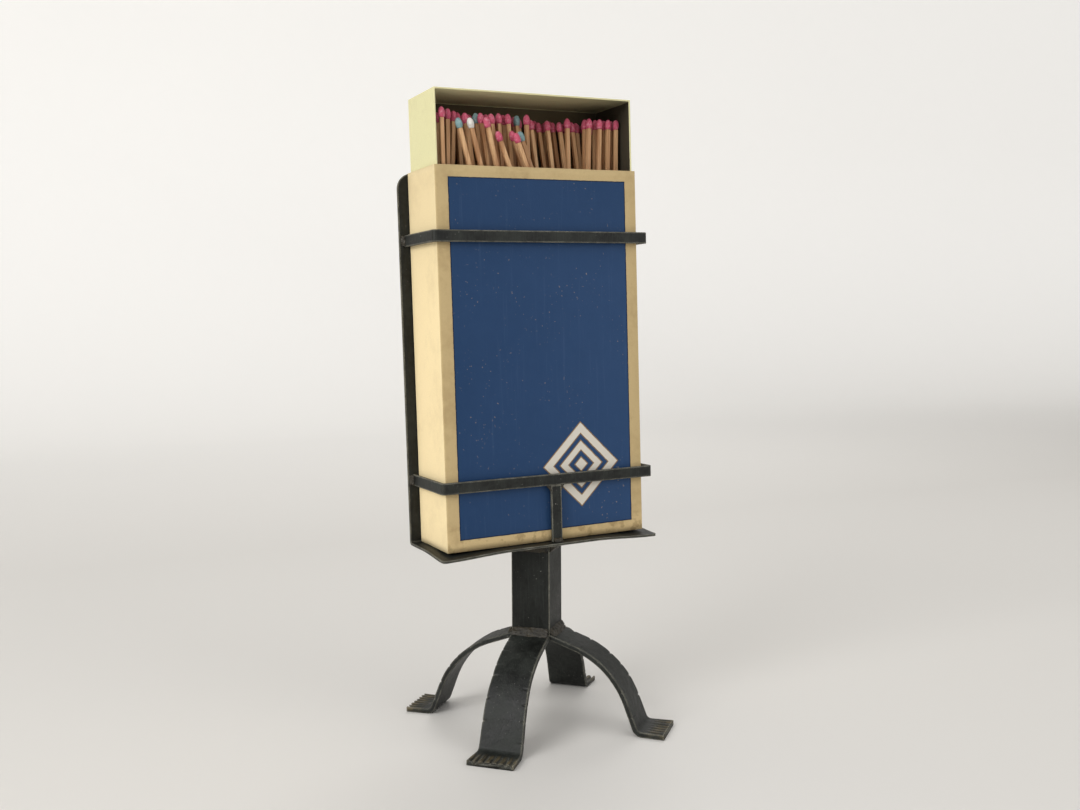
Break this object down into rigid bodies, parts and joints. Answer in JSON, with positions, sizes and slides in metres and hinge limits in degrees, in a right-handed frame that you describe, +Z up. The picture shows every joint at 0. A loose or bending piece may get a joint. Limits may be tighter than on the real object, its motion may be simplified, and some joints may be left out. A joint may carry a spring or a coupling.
{
  "type": "matchbox holder",
  "caption": "Welded steel stand on splayed legs whose leaning cradle holds a tall box of long matches, with the tray pushed up to show the heads",
  "frame": {"origin": "on the table, under the middle of the post", "axes": "+Z up; the front of the box faces -Y; +X to the right as seen from the front"},
  "size_m": [0.1235, 0.113, 0.3152],
  "materials": {
    "post_steel": "blackened bar, streaked",
    "leg_steel": "blackened bar, hammered at the edges and toes",
    "sheet_steel": "mill scale with bare arrises",
    "band_steel": "mill scale with bare arrises",
    "weld": "bronze and olive heat tint",
    "box_card": "printed card, blue front on a cream border",
    "tray_card": "plain pale card",
    "match_wood": "bare aspen splints",
    "pink_head": "dried match mixture",
    "teal_head": "dried match mixture",
    "white_head": "dried match mixture"
  },
  "bodies": {
    "holder": {"post": "post_steel", "leg_front_left": "leg_steel", "leg_front_right": "leg_steel", "leg_back_right": "leg_steel", "leg_back_left": "leg_steel", "leg_welds": "weld", "post_welds": "weld", "cradle_sheet": "sheet_steel", "upper_band": "band_steel", "lower_band": "band_steel", "band_welds": "weld", "stay": "band_steel", "stay_welds": "weld"},
    "matchbox": {"sleeve": "box_card"},
    "tray": {"tray": "tray_card", "front_match_sticks": "match_wood", "middle_match_sticks": "match_wood", "back_match_sticks": "match_wood", "front_pink_heads": "pink_head", "middle_pink_heads": "pink_head", "back_pink_heads": "pink_head", "teal_heads": "teal_head", "white_head": "white_head"}
  },
  "joints": [
    {"name": "matchbox_lift", "type": "slide", "parent": "holder", "child": "matchbox", "axis": [-0.0257, 0, 0.9997], "range_m": [0, 0.19]},
    {"name": "tray_slide", "type": "slide", "parent": "matchbox", "child": "tray", "axis": [-0.0257, 0, 0.9997], "range_m": [-0.0357, 0.14]}
  ]
}
